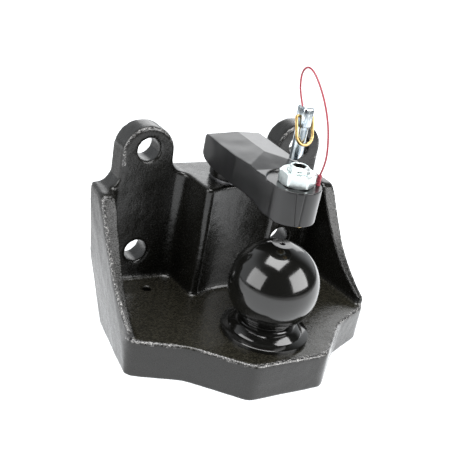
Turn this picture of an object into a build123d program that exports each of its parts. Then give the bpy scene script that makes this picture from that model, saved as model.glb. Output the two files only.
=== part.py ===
from build123d import *
import math
import os

# Ball hitch bracket for the back of a tractor, in millimetres.
# Origin: centre of the four-bolt pattern on the rear mounting face.
# +X to the right seen from behind the tractor, +Y towards the tractor, +Z up.

# Mounting plate and its bolt pattern
bolt_spacing_x = 160.0
bolt_spacing_z = 100.0
bolt_hole_diameter = 22.0
plate_thickness = 23.0
lug_width = 50.0
lug_rise_above_hole = 21.5
lug_foot_radius = 13.0
shoulder_z = 13.5
shoulder_radius = 7.0

# Casting: floor, side walls and column
shoulder_ledge = 20.0
wall_thickness = 15.0
wall_foot_thickness = 6.0
floor_thickness = 35.0
nose_half_width = 37.0
nose_ahead_of_ball = 49.5
flank_half_width = 79.0
flank_ahead_of_ball = 8.0
wing_behind_ball = 12.5
nose_radius = 14.0
flank_radius = 30.0
wing_radius = 14.0
wall_head_y = -33.5
wall_head_radius = 7.0
wall_edge = [(-41.5, 0.0), (-55.0, -20.0), (-71.0, -40.0), (-94.5, -60.0)]
wall_foot_y = -117.0
wall_foot_rise = 6.0
side_level_z = -59.0
side_face_inset = 9.8
side_face_flare = 0.129
side_face_draft = 0.109
side_border_inset = 8.4
side_border_flare = 0.1
side_border_draft = 0.085
flank_cut_z = -62.5
flank_cut_depth = 36.5
flank_cut_from_x = 45.0
column_top_z = 28.0
column_half_width_front = 38.0
column_half_width_rear = 42.0
column_corner_radius = 5.5
column_root_radius = 11.0
coupling_swing_radius = 75.5
bay_radius = 5.0
cast_edge_radius = 2.5

# Tapped holes in the floor
accessory_spacing = 148.0
accessory_y = -43.0
accessory_hole_diameter = 8.5

# Ball and what holds it down
ball_diameter = 80.0
ball_reach = 133.0
ball_drop = 32.0
ball_above_floor = 47.0
ball_flat_diameter = 18.0
grease_hole_diameter = 4.5
grease_hole_depth = 9.0
ball_neck_diameter = 46.0
ball_collar_diameter = 51.0
ball_collar_height = 12.5
ball_shoulder_diameter = 66.0
ball_shoulder_height = 6.0
ball_flange_diameter = 79.0
ball_flange_height = 3.5
ball_spigot_diameter = 40.0
ball_recess_diameter = 62.0
ball_recess_depth = 23.0
ball_bolt_diameter = 20.0
ball_bolt_length = 38.0
ball_bolt_head_across_flats = 30.0
ball_bolt_head_height = 12.5
ball_bolt_hole_spare = 2.0
ball_spigot_gap = 1.0
ball_washer_diameter = 52.0
ball_washer_thickness = 4.0
washer_bore_play = 1.0

# Hold-down arm
pivot_behind_ball = 95.0
arm_half_width = 28.0
arm_tip_radius = 22.0
arm_taper_behind_ball = 53.0
arm_rear_behind_ball = 113.0
arm_rear_corner_radius = 7.0
arm_edge_z = 66.0
arm_ridge_rise = 4.0
arm_tip_top_z = 63.0
arm_tip_bottom_z = 33.0
arm_bottom_z = 40.5
arm_step_behind_ball = 25.0
arm_step_height = 2.0
arm_underside_front = [(8.0, -6.5), (20.0, -2.5), (36.0, 0.0)]
arm_underside_rear = [(24.0, 0.0), (11.0, 2.5), (0.0, 9.0)]
arm_rear_top_cut = (12.0, 9.0)

# Pivot in the column
pivot_collar_diameter = 44.0
pivot_journal_diameter = 22.0
pivot_spigot_diameter = 26.0
pivot_spigot_height = 16.0
pivot_collar_edge_radius = 1.5
pivot_thread_diameter = 18.0
pivot_bush_wall = 2.5
pivot_bush_length = 30.0
thrust_washer_thickness = 1.5
running_clearance = 0.05
fit_clearance = 0.02
pivot_recess_diameter = 50.0
pivot_recess_depth = 34.0
pivot_washer_diameter = 40.0
pivot_washer_thickness = 3.0
disc_spring_height = 2.6
disc_spring_diameter = 36.0
disc_spring_sheet = 1.6
pivot_nut_across_flats = 27.0
pivot_nut_height = 18.0
pivot_thread_proud = 2.0
castle_slot_play = 0.6
split_pin_diameter = 4.0
split_pin_length = 34.0

# Adjusting screw and lock nut in the arm tip
screw_diameter = 18.0
screw_length = 46.0
screw_top_z = 78.8
screw_socket_across_flats = 10.0
screw_socket_depth = 10.0
screw_chamfer = 1.5
screw_pad_diameter = 11.0
screw_pad_height = 6.0
screw_pad_bore = 2.0
lock_nut_across_flats = 28.0
lock_nut_height = 11.0
lock_nut_chamfer = 1.6
tip_stud_diameter = 9.0
tip_stud_length = 9.0
tip_stud_proud = 2.5
tip_stud_nose_radius = 2.3
tip_stud_ahead_of_ball = 14.5

# Linch pin parked on the arm, its bow and the wire that holds it
pin_x = 24.5
pin_behind_ball = 40.0
pin_shank_diameter = 11.0
pin_head_depth = 13.0
pin_head_height = 17.0
pin_head_corner_radius = 3.0
pin_head_top_radius = 1.2
pin_top_z = 115.0
pin_tip_slope = 42.0
pin_tip_flat = 2.5
bow_wire_diameter = 2.8
bow_half_width = 8.2
bow_length = 26.0
bow_offset = 8.2
bow_bend_radius = 1.6
bow_end_x = 1.5
wire_diameter = 1.7
sleeve_diameter = 3.8
sleeve_rise = 9.0
sleeve_seat_depth = 5.0
anchor_x = 18.0
anchor_ahead_of_ball = 6.0
wire_route = [
    (21.0, -92.6, 114.2),
    (20.7, -85.6, 124.1),
    (20.5, -82.7, 133.7),
    (20.2, -83.0, 142.2),
    (19.9, -88.8, 148.1),
    (19.6, -97.6, 147.8),
    (19.4, -108.6, 141.5),
    (19.1, -122.6, 129.0),
    (18.8, -134.6, 112.1),
    (18.5, -140.8, 93.9),
    (18.3, -141.5, 81.1),
    (18.0, -138.7, 71.2),
]

# Places worked out from the sizes above
half_width = bolt_spacing_x / 2 + lug_width / 2 + shoulder_ledge
bay_half_width = half_width - wall_thickness
ball_y = -ball_reach
ball_z = -ball_drop
floor_top_z = ball_z - ball_above_floor
underside_z = floor_top_z - floor_thickness
plate_front_y = -plate_thickness
pivot_y = ball_y + pivot_behind_ball
lug_radius = lug_width / 2
lug_x = bolt_spacing_x / 2
lug_arc_z = bolt_spacing_z / 2 + lug_rise_above_hole - lug_radius
pivot_bore_diameter = pivot_journal_diameter + 2 * pivot_bush_wall
pivot_recess_z = underside_z + pivot_recess_depth
ball_recess_z = underside_z + ball_recess_depth
collar_bottom_z = column_top_z + thrust_washer_thickness
os.makedirs("parts", exist_ok=True)


def both_sides(points):
    """Points of the right half, followed by their mirror images."""
    return points + [(-x, y) for x, y in reversed(points)]


def at_level(shapes, axis, level):
    """The corners or edges that lie at one place along an axis."""
    return shapes.filter_by_position(axis, level - 0.1, level + 0.1)


def save(piece, name):
    """Label a finished piece and write it to its own file."""
    piece.part.label = name
    export_step(piece.part, "parts/" + name + ".step")


# Bracket casting
nose_y = ball_y - nose_ahead_of_ball
flank_y = ball_y - flank_ahead_of_ball
wing_y = ball_y + wing_behind_ball
with BuildPart() as bracket_casting:
    with BuildSketch(Plane.XY.offset(underside_z)) as floor_plan:
        floor_right = [
            (half_width, 0),
            (half_width, wing_y),
            (flank_half_width, flank_y),
            (nose_half_width, nose_y),
        ]
        with BuildLine():
            Polyline(*both_sides(floor_right), close=True)
        make_face()
        fillet(at_level(floor_plan.vertices(), Axis.Y, nose_y), nose_radius)
        fillet(at_level(floor_plan.vertices(), Axis.Y, flank_y), flank_radius)
        fillet(at_level(floor_plan.vertices(), Axis.Y, wing_y), wing_radius)
    extrude(amount=floor_thickness)
    floor_rim = at_level(bracket_casting.edges(), Axis.Z, floor_top_z)
    fillet(floor_rim.filter_by(lambda e: e.center().Y < -1), cast_edge_radius)
    with BuildSketch(Plane.XZ) as plate_face:
        with BuildLine():
            plate_right = [
                (half_width, underside_z),
                (half_width, shoulder_z),
                (lug_x + lug_radius, shoulder_z),
                (lug_x + lug_radius, lug_arc_z),
                (lug_x - lug_radius, lug_arc_z),
                (lug_x - lug_radius, column_top_z),
            ]
            Polyline(*both_sides(plate_right), close=True)
        make_face()
        with Locations((lug_x, lug_arc_z), (-lug_x, lug_arc_z)):
            Circle(lug_radius)
        shoulders = at_level(plate_face.vertices(), Axis.Y, shoulder_z).sort_by(lambda v: abs(v.X))
        fillet(shoulders[:2], lug_foot_radius)
        fillet(shoulders[2:], shoulder_radius)
        fillet(at_level(plate_face.vertices(), Axis.Y, column_top_z), lug_foot_radius)
    extrude(amount=plate_thickness)
    # Side walls with hollow curved front edges, thinner towards the foot
    with BuildPart(mode=Mode.PRIVATE) as side_wall:
        with BuildSketch(Plane.YZ.offset(bay_half_width)) as wall_side:
            with BuildLine():
                head = (wall_head_y, shoulder_z)
                foot = (wall_foot_y, floor_top_z + wall_foot_rise)
                Spline(head, *wall_edge, foot)
                Polyline(foot, (wall_foot_y, underside_z), (0, underside_z), (0, shoulder_z), head)
            make_face()
            fillet(wall_side.vertices().sort_by_distance((*head, 0))[0], wall_head_radius)
        extrude(amount=wall_thickness)
        taper = wall_thickness - wall_foot_thickness
        inward_face = (plate_front_y - wall_foot_y, taper, 0)
        split(bisect_by=Plane((bay_half_width, plate_front_y, 0), z_dir=inward_face), keep=Keep.TOP)
    add(side_wall.part)
    mirror(side_wall.part, about=Plane.YZ)
    extrude(floor_plan.sketch, amount=bolt_spacing_x * 2, mode=Mode.INTERSECT)
    # Outer side faces: a smooth drafted face and a narrow border in front of it
    for side in (-1, 1):
        face_foot = (side * (half_width - side_face_inset), 0, side_level_z)
        face_out = (side, side_face_flare, -side_face_draft)
        split(bisect_by=Plane(face_foot, z_dir=face_out), keep=Keep.BOTTOM)
        border_foot = (side * (half_width - side_border_inset), 0, side_level_z)
        border_out = (side, side_border_flare, -side_border_draft)
        split(bisect_by=Plane(border_foot, z_dir=border_out), keep=Keep.BOTTOM)
    # Lower rear corners cut away on both sides of the column
    with BuildSketch(Plane.YZ.offset(flank_cut_from_x)):
        with BuildLine():
            Polyline((0, flank_cut_z), (0, underside_z), (-flank_cut_depth, underside_z), close=True)
        make_face()
    flank_cut = extrude(amount=half_width - flank_cut_from_x, mode=Mode.SUBTRACT)
    mirror(flank_cut, about=Plane.YZ, mode=Mode.SUBTRACT)
    # Column, hollowed at the front round the ball's axis
    with BuildSketch(Plane.XY.offset(floor_top_z)) as column_plan:
        with BuildLine():
            front_y = ball_y + coupling_swing_radius - column_half_width_front / 2
            column_right = [(column_half_width_rear, plate_front_y), (column_half_width_front, front_y)]
            Polyline(*both_sides(column_right), close=True)
        make_face()
        with Locations((0, ball_y)):
            Circle(coupling_swing_radius, mode=Mode.SUBTRACT)
        fillet(column_plan.vertices().group_by(Axis.Y)[0], column_corner_radius)
    extrude(amount=column_top_z - floor_top_z)
    upright_edges = at_level(bracket_casting.edges().filter_by(Axis.Z), Axis.Y, plate_front_y)
    inward = upright_edges.filter_by(lambda e: e.is_interior)
    fillet(inward.filter_by(lambda e: abs(e.center().X) < column_half_width_rear + 1), column_root_radius)
    # Soft inner corners of the two bays
    inner_edges = bracket_casting.edges().filter_by(lambda e: e.is_interior)
    floor_corners = at_level(inner_edges, Axis.Z, floor_top_z)
    foot_inside = half_width - wall_foot_thickness
    bay_floor = floor_corners.filter_by_position(Axis.X, -foot_inside, foot_inside)
    plate_corners = at_level(inner_edges.filter_by(Axis.Z), Axis.Y, plate_front_y)
    bay_upright = plate_corners.filter_by(lambda e: abs(abs(e.center().X) - bay_half_width) < 0.1)
    fillet(bay_floor + bay_upright, bay_radius)
    # Rounded fronts of the lugs
    outer = bracket_casting.edges().filter_by(lambda e: not e.is_interior)
    plate_front = at_level(outer, Axis.Y, plate_front_y)
    lug_rims = plate_front.filter_by_position(Axis.Z, column_top_z + 2, lug_arc_z + lug_width)
    fillet(lug_rims, cast_edge_radius)
    # Bolt holes through the plate
    with BuildSketch(Plane.XZ):
        with GridLocations(bolt_spacing_x, bolt_spacing_z, 2, 2):
            Circle(bolt_hole_diameter / 2)
    extrude(amount=plate_thickness + bay_radius, mode=Mode.SUBTRACT)
    # Tapped holes through the floor, left as plain bores
    with BuildSketch(Plane.XY.offset(underside_z)):
        with Locations((accessory_spacing / 2, accessory_y), (-accessory_spacing / 2, accessory_y)):
            Circle(accessory_hole_diameter / 2)
    extrude(amount=floor_thickness + bay_radius, mode=Mode.SUBTRACT)
    # Ball seat: a bore for the spigot and a recess for the bolt head
    with BuildSketch(Plane.XY.offset(underside_z)):
        with Locations((0, ball_y)):
            Circle(ball_spigot_diameter / 2 + fit_clearance)
    extrude(amount=floor_thickness + 1, mode=Mode.SUBTRACT)
    with BuildSketch(Plane.XY.offset(underside_z)):
        with Locations((0, ball_y)):
            Circle(ball_recess_diameter / 2)
    extrude(amount=ball_recess_depth, mode=Mode.SUBTRACT)
    # Pivot bore down the column and the recess for its nut
    with BuildSketch(Plane.XY.offset(underside_z)):
        with Locations((0, pivot_y)):
            Circle(pivot_recess_diameter / 2)
    extrude(amount=pivot_recess_depth, mode=Mode.SUBTRACT)
    with BuildSketch(Plane.XY.offset(underside_z)):
        with Locations((0, pivot_y)):
            Circle(pivot_bore_diameter / 2 + fit_clearance)
    extrude(amount=column_top_z - underside_z, mode=Mode.SUBTRACT)
save(bracket_casting, "bracket_casting")

# Ball with its collar, flange and spigot, turned from one bar
ball_radius = ball_diameter / 2
neck_radius = ball_neck_diameter / 2
collar_radius = ball_collar_diameter / 2
flange_radius = ball_flange_diameter / 2
ball_shoulder_radius = ball_shoulder_diameter / 2
collar_z = floor_top_z + ball_collar_height
ball_shoulder_z = floor_top_z + ball_shoulder_height
ball_flange_z = floor_top_z + ball_flange_height
ball_bottom_z = ball_z - math.sqrt(ball_radius**2 - neck_radius**2)
spigot_end_z = ball_recess_z + ball_spigot_gap
ball_top_z = ball_z + math.sqrt(ball_radius**2 - (ball_flat_diameter / 2) ** 2)
with BuildPart() as ball_stud:
    with BuildSketch(Plane.XZ.offset(-ball_y)) as ball_half:
        with BuildLine():
            spigot_radius = ball_spigot_diameter / 2
            Polyline(
                (0, ball_top_z),
                (ball_flat_diameter / 2, ball_top_z),
            )
            ThreePointArc(
                (ball_flat_diameter / 2, ball_top_z),
                (ball_radius, ball_z),
                (neck_radius, ball_bottom_z),
            )
            Polyline((neck_radius, ball_bottom_z), (neck_radius, collar_z), (collar_radius, collar_z))
            RadiusArc(
                (collar_radius, collar_z),
                (ball_shoulder_radius, ball_shoulder_z),
                ball_shoulder_radius - collar_radius + 2,
            )
            Polyline(
                (ball_shoulder_radius, ball_shoulder_z),
                (flange_radius, ball_flange_z),
                (flange_radius, floor_top_z),
                (spigot_radius, floor_top_z),
                (spigot_radius, spigot_end_z),
                (0, spigot_end_z),
                (0, ball_top_z),
            )
        make_face()
    revolve(axis=Axis((0, ball_y, 0), (0, 0, 1)))
    with Locations((0, ball_y, ball_top_z)):
        Hole(grease_hole_diameter / 2, grease_hole_depth)
    with BuildSketch(Plane.XY.offset(spigot_end_z)):
        with Locations((0, ball_y)):
            Circle(ball_bolt_diameter / 2 + fit_clearance)
    extrude(amount=ball_bolt_length - ball_washer_thickness + ball_bolt_hole_spare, mode=Mode.SUBTRACT)
save(ball_stud, "ball_stud")


def ring(outer_diameter, inner_diameter, low_z, high_z, x=0.0, y=0.0):
    """A plain ring standing between two heights."""
    with BuildPart() as made:
        with BuildSketch(Plane.XY.offset(low_z)):
            with Locations((x, y)):
                Circle(outer_diameter / 2)
                Circle(inner_diameter / 2, mode=Mode.SUBTRACT)
        extrude(amount=high_z - low_z)
    return made


# Washer and hexagon bolt that pull the ball down into its seat
ball_washer = ring(
    ball_washer_diameter,
    ball_bolt_diameter + washer_bore_play,
    ball_recess_z - ball_washer_thickness,
    ball_recess_z,
    y=ball_y,
)
save(ball_washer, "ball_washer")
bolt_head_z = ball_recess_z - ball_washer_thickness
with BuildPart() as ball_bolt:
    with BuildSketch(Plane.XY.offset(bolt_head_z - ball_bolt_head_height)):
        with Locations((0, ball_y)):
            RegularPolygon(ball_bolt_head_across_flats / 2, 6, major_radius=False)
    extrude(amount=ball_bolt_head_height)
    with BuildSketch(Plane.XY.offset(bolt_head_z)):
        with Locations((0, ball_y)):
            Circle(ball_bolt_diameter / 2)
    extrude(amount=ball_bolt_length)
save(ball_bolt, "ball_bolt")

# Bushes pressed into the ends of the column bore, and the washer under the arm's collar
bush_bore = pivot_journal_diameter + 2 * running_clearance
upper_bush = ring(pivot_bore_diameter, bush_bore, column_top_z - pivot_bush_length, column_top_z, y=pivot_y)
save(upper_bush, "upper_bush")
lower_bush_top_z = pivot_recess_z + pivot_bush_length
lower_bush = ring(pivot_bore_diameter, bush_bore, pivot_recess_z, lower_bush_top_z, y=pivot_y)
save(lower_bush, "lower_bush")
thrust_washer = ring(pivot_collar_diameter - 2, bush_bore, column_top_z, collar_bottom_z, y=pivot_y)
save(thrust_washer, "thrust_washer")

# Hold-down arm
arm_rear_y = ball_y + arm_rear_behind_ball
arm_taper_y = ball_y + arm_taper_behind_ball
arm_step_y = ball_y + arm_step_behind_ball
arm_step_z = arm_tip_top_z + arm_step_height
arm_ridge_z = arm_edge_z + arm_ridge_rise
with BuildPart() as hold_down_arm:
    with BuildSketch(Plane.XY.offset(arm_tip_bottom_z)) as arm_plan:
        with BuildLine():
            arm_corners = [(arm_half_width, arm_rear_y), (arm_half_width, arm_taper_y)]
            Polyline(*both_sides(arm_corners + [(arm_tip_radius, ball_y)]), close=True)
        make_face()
        with Locations((0, ball_y)):
            Circle(arm_tip_radius)
        fillet(arm_plan.vertices().group_by(Axis.Y)[-1], arm_rear_corner_radius)
    extrude(amount=arm_ridge_z - arm_tip_bottom_z)
    with BuildSketch(Plane.YZ) as arm_side:
        with BuildLine():
            Polyline(
                (ball_y - arm_tip_radius - 1, arm_tip_bottom_z),
                *[(ball_y + behind, arm_bottom_z + rise) for behind, rise in arm_underside_front],
                *[(arm_rear_y - ahead, arm_bottom_z + rise) for ahead, rise in arm_underside_rear],
                (arm_rear_y, arm_ridge_z - arm_rear_top_cut[1]),
                (arm_rear_y - arm_rear_top_cut[0], arm_ridge_z),
                (arm_taper_y, arm_ridge_z),
                (arm_step_y, arm_step_z),
                (ball_y - arm_tip_radius - 1, arm_step_z),
                close=True,
            )
        make_face()
    extrude(amount=arm_half_width + 1, both=True, mode=Mode.INTERSECT)
    with BuildSketch(Plane.XZ.offset(-arm_rear_y)) as arm_section:
        with BuildLine():
            Polyline(
                (-arm_half_width, 0),
                (arm_half_width, 0),
                (arm_half_width, arm_edge_z),
                (0, arm_ridge_z),
                (-arm_half_width, arm_edge_z),
                close=True,
            )
        make_face()
    extrude(amount=arm_rear_y - ball_y + arm_tip_radius + 1, mode=Mode.INTERSECT)
    with BuildSketch(Plane.XY.offset(arm_tip_top_z)):
        with Locations((0, ball_y)):
            Circle(arm_step_behind_ball)
    extrude(amount=arm_ridge_z - arm_tip_top_z + 1, mode=Mode.SUBTRACT)
    # Bores for the adjusting screw, the tip stud, the wire and the pivot shaft
    with BuildSketch(Plane.XY.offset(arm_tip_bottom_z - 1)):
        with Locations((0, ball_y)):
            Circle(screw_diameter / 2 + running_clearance)
    extrude(amount=arm_ridge_z - arm_tip_bottom_z + 2, mode=Mode.SUBTRACT)
    with BuildSketch(Plane.XY.offset(arm_tip_top_z - sleeve_seat_depth)):
        with Locations((anchor_x, ball_y - anchor_ahead_of_ball)):
            Circle(sleeve_diameter / 2 + fit_clearance)
    extrude(amount=sleeve_seat_depth + 1, mode=Mode.SUBTRACT)
    with BuildSketch(Plane.XY.offset(arm_tip_bottom_z - 1)):
        with Locations((0, ball_y - tip_stud_ahead_of_ball)):
            Circle(tip_stud_diameter / 2 + fit_clearance)
    extrude(amount=tip_stud_length - tip_stud_proud + 1, mode=Mode.SUBTRACT)
    with BuildSketch(Plane.XY.offset(arm_tip_bottom_z - 1)):
        with Locations((0, pivot_y)):
            Circle(pivot_spigot_diameter / 2 + fit_clearance)
    extrude(amount=arm_bottom_z + pivot_spigot_height - arm_tip_bottom_z + 1, mode=Mode.SUBTRACT)
save(hold_down_arm, "hold_down_arm")

# Pivot shaft with its collar, pressed into the arm from below
journal_end_z = pivot_recess_z - 2 * running_clearance
disc_spring_z = journal_end_z - pivot_washer_thickness
pivot_nut_top_z = disc_spring_z - disc_spring_height
pivot_nut_bottom_z = pivot_nut_top_z - pivot_nut_height
split_pin_z = pivot_nut_bottom_z + pivot_nut_height / 4
thread_end_z = pivot_nut_bottom_z - pivot_thread_proud
with BuildPart() as pivot_shaft:
    with BuildSketch(Plane.XZ.offset(-pivot_y)) as shaft_half:
        with BuildLine():
            Polyline(
                (0, arm_bottom_z + pivot_spigot_height),
                (pivot_spigot_diameter / 2, arm_bottom_z + pivot_spigot_height),
                (pivot_spigot_diameter / 2, arm_bottom_z),
                (pivot_collar_diameter / 2, arm_bottom_z),
                (pivot_collar_diameter / 2, collar_bottom_z),
                (pivot_journal_diameter / 2, collar_bottom_z),
                (pivot_journal_diameter / 2, journal_end_z),
                (pivot_thread_diameter / 2, journal_end_z),
                (pivot_thread_diameter / 2, thread_end_z),
                (0, thread_end_z),
                close=True,
            )
        make_face()
    revolve(axis=Axis((0, pivot_y, 0), (0, 0, 1)))
    rims = pivot_shaft.edges().filter_by(GeomType.CIRCLE)
    fillet(rims.filter_by(lambda e: e.radius > pivot_collar_diameter / 2 - 0.1), pivot_collar_edge_radius)
    with BuildSketch(Plane.YZ) as cotter_hole:
        with Locations((pivot_y, split_pin_z)):
            Circle(split_pin_diameter / 2 + fit_clearance)
    extrude(amount=pivot_thread_diameter, both=True, mode=Mode.SUBTRACT)
save(pivot_shaft, "pivot_shaft")

# What holds the shaft up in the recess: washer, disc spring, castle nut and split pin
thread_washer_bore = pivot_thread_diameter + washer_bore_play
pivot_washer = ring(pivot_washer_diameter, thread_washer_bore, disc_spring_z, journal_end_z, y=pivot_y)
save(pivot_washer, "pivot_washer")
with BuildPart() as disc_spring:
    with BuildSketch(Plane.XZ.offset(-pivot_y)):
        with BuildLine():
            disc_inner = thread_washer_bore / 2
            disc_outer = disc_spring_diameter / 2
            Polyline(
                (disc_inner, pivot_nut_top_z),
                (disc_inner, pivot_nut_top_z + disc_spring_sheet),
                (disc_outer, disc_spring_z),
                (disc_outer, disc_spring_z - disc_spring_sheet),
                close=True,
            )
        make_face()
    revolve(axis=Axis((0, pivot_y, 0), (0, 0, 1)))
save(disc_spring, "disc_spring")
castle_slot = split_pin_diameter + castle_slot_play
with BuildPart() as pivot_nut:
    with BuildSketch(Plane.XY.offset(pivot_nut_bottom_z)):
        with Locations((0, pivot_y)):
            RegularPolygon(pivot_nut_across_flats / 2, 6, major_radius=False)
            Circle(pivot_thread_diameter / 2 + fit_clearance, mode=Mode.SUBTRACT)
    extrude(amount=pivot_nut_height)
    with BuildSketch(Plane.XY.offset(pivot_nut_bottom_z)):
        with Locations((0, pivot_y)):
            with PolarLocations(0, 3, angular_range=180):
                Rectangle(pivot_nut_across_flats * 2, castle_slot)
    extrude(amount=pivot_nut_height / 4 + castle_slot / 2, mode=Mode.SUBTRACT)
save(pivot_nut, "pivot_nut")
with BuildPart() as split_pin:
    with BuildSketch(Plane.YZ):
        with Locations((pivot_y, split_pin_z)):
            Circle(split_pin_diameter / 2)
    extrude(amount=split_pin_length / 2, both=True)
save(split_pin, "split_pin")

# Adjusting screw with a hexagon socket, its pad, and the lock nut on the arm
screw_bottom_z = screw_top_z - screw_length
with BuildPart() as adjusting_screw:
    with BuildSketch(Plane.XY.offset(screw_bottom_z)):
        with Locations((0, ball_y)):
            Circle(screw_diameter / 2)
    extrude(amount=screw_length)
    chamfer(adjusting_screw.edges().filter_by(GeomType.CIRCLE), screw_chamfer)
    with BuildSketch(Plane.XY.offset(screw_top_z)):
        with Locations((0, ball_y)):
            RegularPolygon(screw_socket_across_flats / 2, 6, major_radius=False)
    extrude(amount=-screw_socket_depth, mode=Mode.SUBTRACT)
    with BuildSketch(Plane.XY.offset(screw_bottom_z)):
        with Locations((0, ball_y)):
            Circle(screw_pad_diameter / 2 + running_clearance)
    extrude(amount=screw_pad_height / 2, mode=Mode.SUBTRACT)
save(adjusting_screw, "adjusting_screw")
pad_low_z = screw_bottom_z - screw_pad_height / 2
screw_pad = ring(screw_pad_diameter, screw_pad_bore, pad_low_z, pad_low_z + screw_pad_height, y=ball_y)
save(screw_pad, "screw_pad")
with BuildPart() as lock_nut:
    with BuildSketch(Plane.XY.offset(arm_tip_top_z)):
        with Locations((0, ball_y)):
            RegularPolygon(lock_nut_across_flats / 2, 6, major_radius=False)
    extrude(amount=lock_nut_height)
    with BuildSketch(Plane.XZ.offset(-ball_y)):
        with BuildLine():
            nut_corner = lock_nut_across_flats / math.sqrt(3)
            nut_top_z = arm_tip_top_z + lock_nut_height
            Polyline(
                (0, arm_tip_top_z),
                (nut_corner - lock_nut_chamfer / 2, arm_tip_top_z),
                (nut_corner, arm_tip_top_z + lock_nut_chamfer / 2),
                (nut_corner, nut_top_z - lock_nut_chamfer),
                (nut_corner - 2 * lock_nut_chamfer, nut_top_z),
                (0, nut_top_z),
                close=True,
            )
        make_face()
    revolve(axis=Axis((0, ball_y, 0), (0, 0, 1)), mode=Mode.INTERSECT)
    with BuildSketch(Plane.XY.offset(arm_tip_top_z)):
        with Locations((0, ball_y)):
            Circle(screw_diameter / 2 + running_clearance)
    extrude(amount=lock_nut_height, mode=Mode.SUBTRACT)
save(lock_nut, "lock_nut")

# Round-nosed stud under the front of the tip
with BuildPart() as tip_stud:
    with BuildSketch(Plane.XY.offset(arm_tip_bottom_z - tip_stud_proud)):
        with Locations((0, ball_y - tip_stud_ahead_of_ball)):
            Circle(tip_stud_diameter / 2)
    extrude(amount=tip_stud_length)
    fillet(tip_stud.edges().group_by(Axis.Z)[0], tip_stud_nose_radius)
save(tip_stud, "tip_stud")

# Linch pin standing on the arm, with a sloping tip and a drilled head
pin_y = ball_y + pin_behind_ball
pin_radius = pin_shank_diameter / 2
slope_share = (arm_taper_behind_ball - pin_behind_ball) / (arm_taper_behind_ball - arm_step_behind_ball)
slope_z = arm_ridge_z - slope_share * (arm_ridge_z - arm_step_z)
crown_z = arm_ridge_z - arm_ridge_rise * (pin_x - pin_radius) / arm_half_width
pin_bottom_z = min(slope_z, crown_z) + 2 * running_clearance
pin_head_z = pin_top_z - pin_head_height
bow_hinge_z = pin_top_z - pin_head_height / 2
with BuildPart() as linch_pin:
    with BuildSketch(Plane.XY.offset(pin_bottom_z)):
        with Locations((pin_x, pin_y)):
            Circle(pin_radius)
    extrude(amount=pin_head_z - pin_bottom_z)
    with BuildSketch(Plane.XY.offset(pin_head_z)):
        with Locations((pin_x, pin_y)):
            RectangleRounded(pin_shank_diameter, pin_head_depth, pin_head_corner_radius)
    extrude(amount=pin_head_height)
    fillet(linch_pin.edges().group_by(Axis.Z)[-1], pin_head_top_radius)
    # The tip is cut off at a slope, lowest on the left
    with BuildSketch(Plane.XZ.offset(-pin_y)):
        with BuildLine():
            tip_low_x = pin_x - pin_radius + pin_tip_flat
            tip_high_x = tip_low_x + pin_shank_diameter
            tip_high_z = pin_bottom_z + pin_shank_diameter * math.tan(math.radians(pin_tip_slope))
            tip_cut = [(tip_low_x, pin_bottom_z), (tip_high_x, tip_high_z), (tip_high_x, pin_bottom_z)]
            Polyline(*tip_cut, close=True)
        make_face()
    extrude(amount=pin_shank_diameter, both=True, mode=Mode.SUBTRACT)
    with BuildSketch(Plane.YZ):
        with Locations((pin_y, bow_hinge_z)):
            Circle(bow_wire_diameter / 2 + running_clearance)
    extrude(amount=pin_x + pin_shank_diameter, mode=Mode.SUBTRACT)
save(linch_pin, "linch_pin")

# Spring bow of the linch pin: its ends turn in the head, its loop lies on the shank
bow_tilt = math.asin(bow_offset / (bow_length - bow_wire_diameter))
bow_plane = Plane(
    origin=(pin_x, pin_y, bow_hinge_z),
    x_dir=(1, 0, 0),
    z_dir=(0, math.cos(bow_tilt), -math.sin(bow_tilt)),
)
with BuildPart() as linch_pin_bow:
    with BuildLine(bow_plane) as bow_line:
        straight = bow_length - bow_half_width
        right_route = [(bow_end_x, 0), (bow_half_width, 0), (bow_half_width, straight)]
        FilletPolyline(*right_route, radius=bow_bend_radius)
        ThreePointArc((bow_half_width, straight), (0, bow_length), (-bow_half_width, straight))
        left_route = [(-bow_half_width, straight), (-bow_half_width, 0), (-bow_end_x, 0)]
        FilletPolyline(*left_route, radius=bow_bend_radius)
    start = Plane(origin=bow_line.line @ 0, z_dir=bow_line.line % 0)
    with BuildSketch(start):
        Circle(bow_wire_diameter / 2)
    sweep(path=bow_line.line)
save(linch_pin_bow, "linch_pin_bow")

# Stiff coated wire that ties the linch pin to the arm, and the sleeve it ends in
sleeve_low_z = arm_tip_top_z - sleeve_seat_depth
with BuildPart() as wire_sleeve:
    with BuildSketch(Plane.XY.offset(sleeve_low_z)):
        with Locations((anchor_x, ball_y - anchor_ahead_of_ball)):
            Circle(sleeve_diameter / 2)
    extrude(amount=sleeve_seat_depth + sleeve_rise)
save(wire_sleeve, "wire_sleeve")


def corner_radii(route):
    """The largest arc for each corner that its two runs allow."""
    radii = []
    for before, at, after in zip(route, route[1:], route[2:]):
        run_in = Vector(*at) - Vector(*before)
        run_out = Vector(*after) - Vector(*at)
        half_turn = math.radians(run_in.get_angle(run_out)) / 2
        shorter = min(run_in.length, run_out.length)
        radii.append(0.45 * shorter / math.tan(half_turn))
    return radii


wire_radii = corner_radii(wire_route)
print("wire radii", [round(r, 1) for r in wire_radii])
with BuildPart() as lanyard_wire:
    with BuildLine() as wire_line:
        FilletPolyline(*wire_route, radius=wire_radii)
    with BuildSketch(Plane(origin=wire_line.line @ 0, z_dir=wire_line.line % 0)):
        Circle(wire_diameter / 2)
    sweep(path=wire_line.line)
save(lanyard_wire, "lanyard_wire")
wire_tube = math.pi * (wire_diameter / 2) ** 2 * wire_line.wires()[0].length
print("wire volume share", round(lanyard_wire.part.volume / wire_tube, 4))
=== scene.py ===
import math

import bpy
from mathutils import Matrix, Vector, kdtree, noise


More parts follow.
